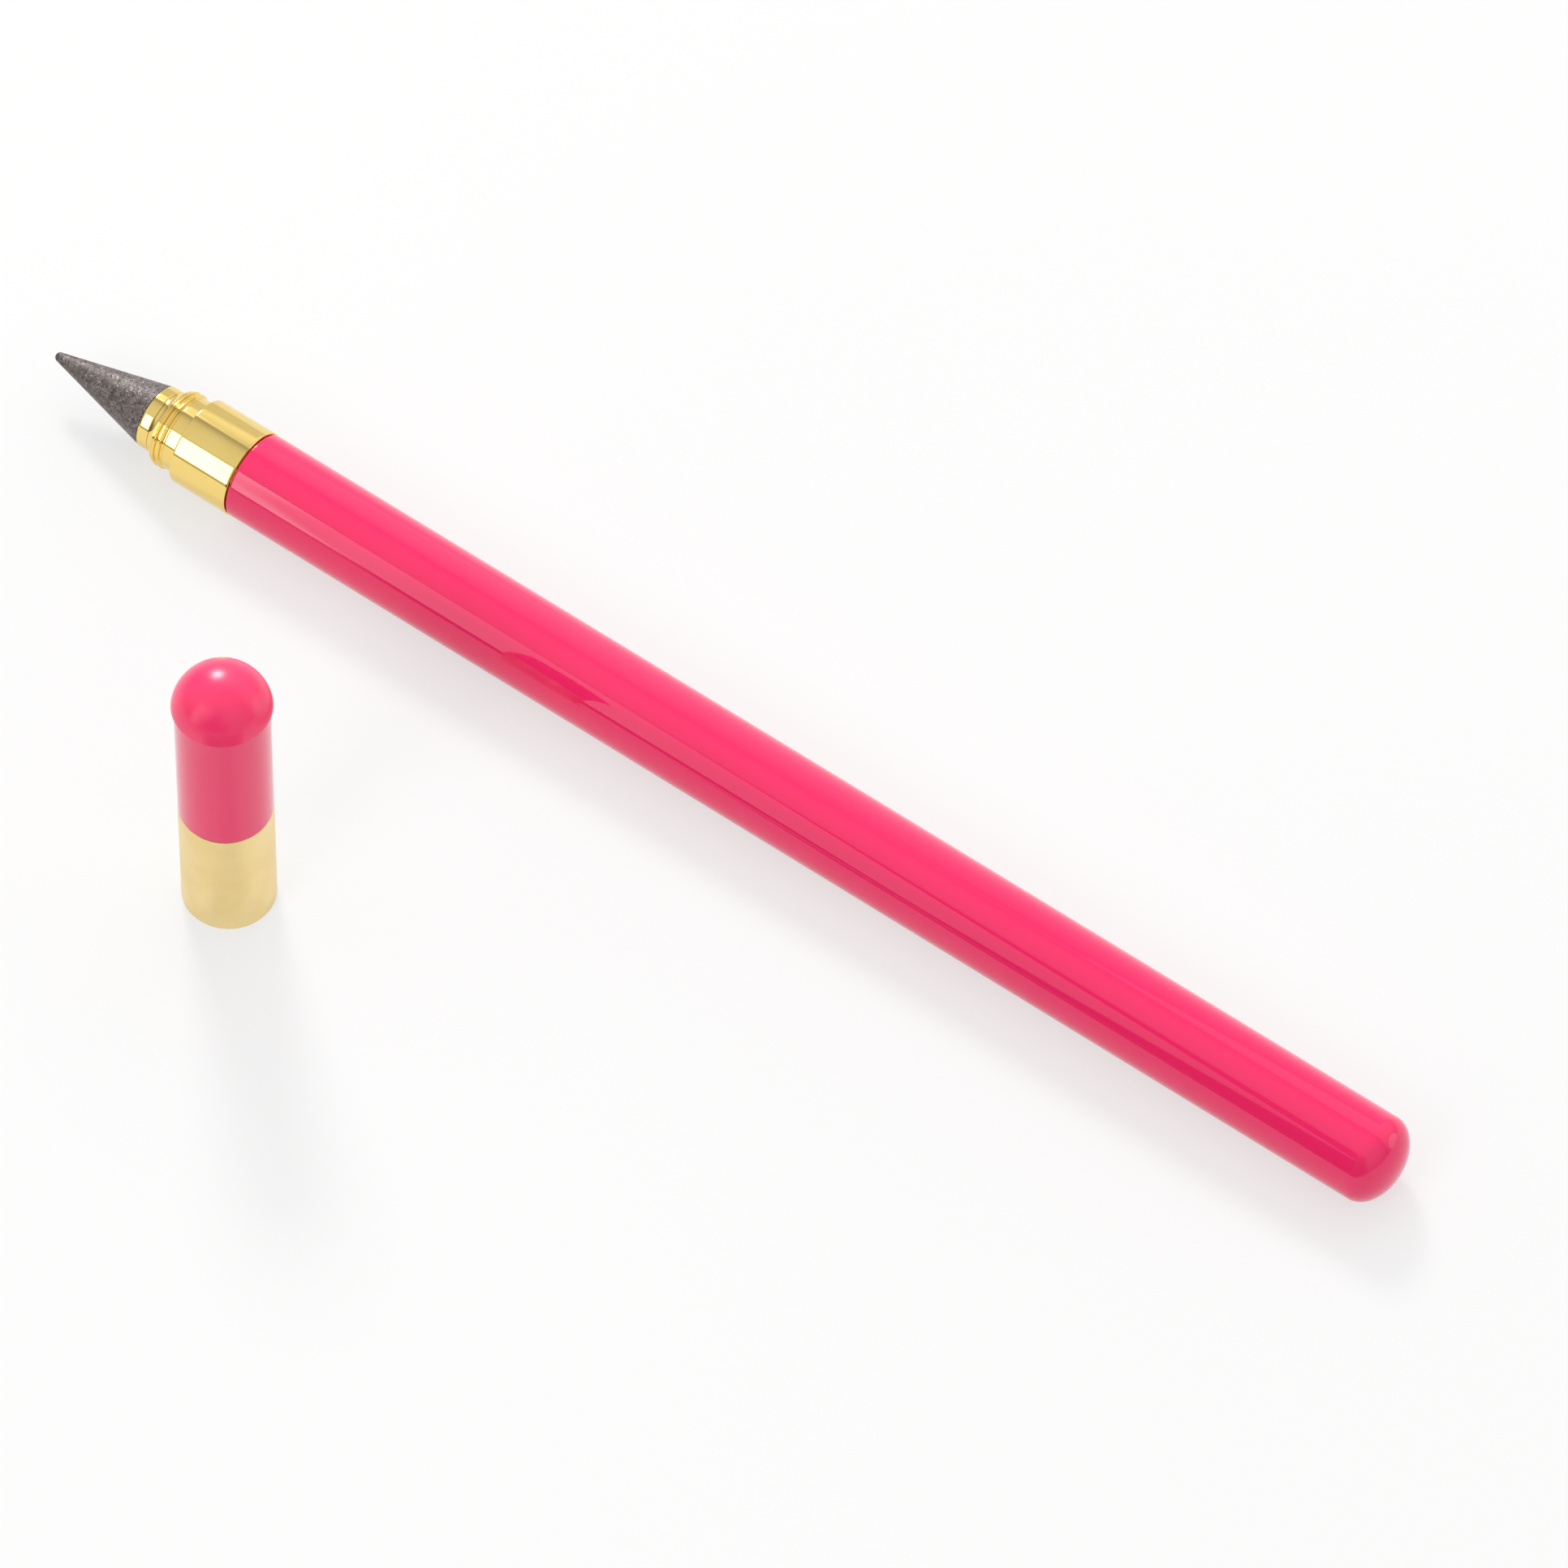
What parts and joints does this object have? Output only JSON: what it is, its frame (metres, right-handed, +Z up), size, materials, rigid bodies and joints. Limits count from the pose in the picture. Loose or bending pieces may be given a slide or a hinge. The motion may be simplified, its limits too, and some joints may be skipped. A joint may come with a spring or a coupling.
{
  "type": "inkless pencil",
  "caption": "Round inkless pencil with a graphite cone nib, a metal ferrule with snap ridges and a domed rear end, lying beside its standing domed pull-off cap.",
  "frame": {"origin": "middle of the footprint of the pencil and its cap, on the surface they rest on", "axes": "+X along the pencil from the nib to the rear end, +Z up, -Y towards the standing cap"},
  "size_m": [0.1582, 0.0466, 0.0351],
  "materials": {
    "graphite": "mottled grey-brown graphite alloy with a dull sheen",
    "polished_gold": "polished gold plate",
    "pink_lacquer": "high-gloss pink lacquer",
    "satin_gold": "soft satin gold",
    "liner_plastic": "natural white moulded plastic",
    "crown_plastic": "glossy pink moulding, lacquered as the shell is"
  },
  "bodies": {
    "pencil": {"ferrule": "polished_gold", "barrel": "pink_lacquer", "rear_plug": "pink_lacquer"},
    "nib": {"nib_tip": "graphite", "nib_holder": "polished_gold"},
    "cap": {"cap_band": "satin_gold", "cap_liner": "liner_plastic", "cap_shell": "pink_lacquer", "cap_crown": "crown_plastic"}
  },
  "joints": [
    {"name": "nib_unscrew", "type": "slide", "parent": "pencil", "child": "nib", "axis": [-1, 0, 0], "range_m": [0, 0.008]},
    {"name": "cap_lift", "type": "slide", "parent": "pencil", "child": "cap", "axis": [0, 0, 1], "range_m": [0, 0.04]}
  ]
}
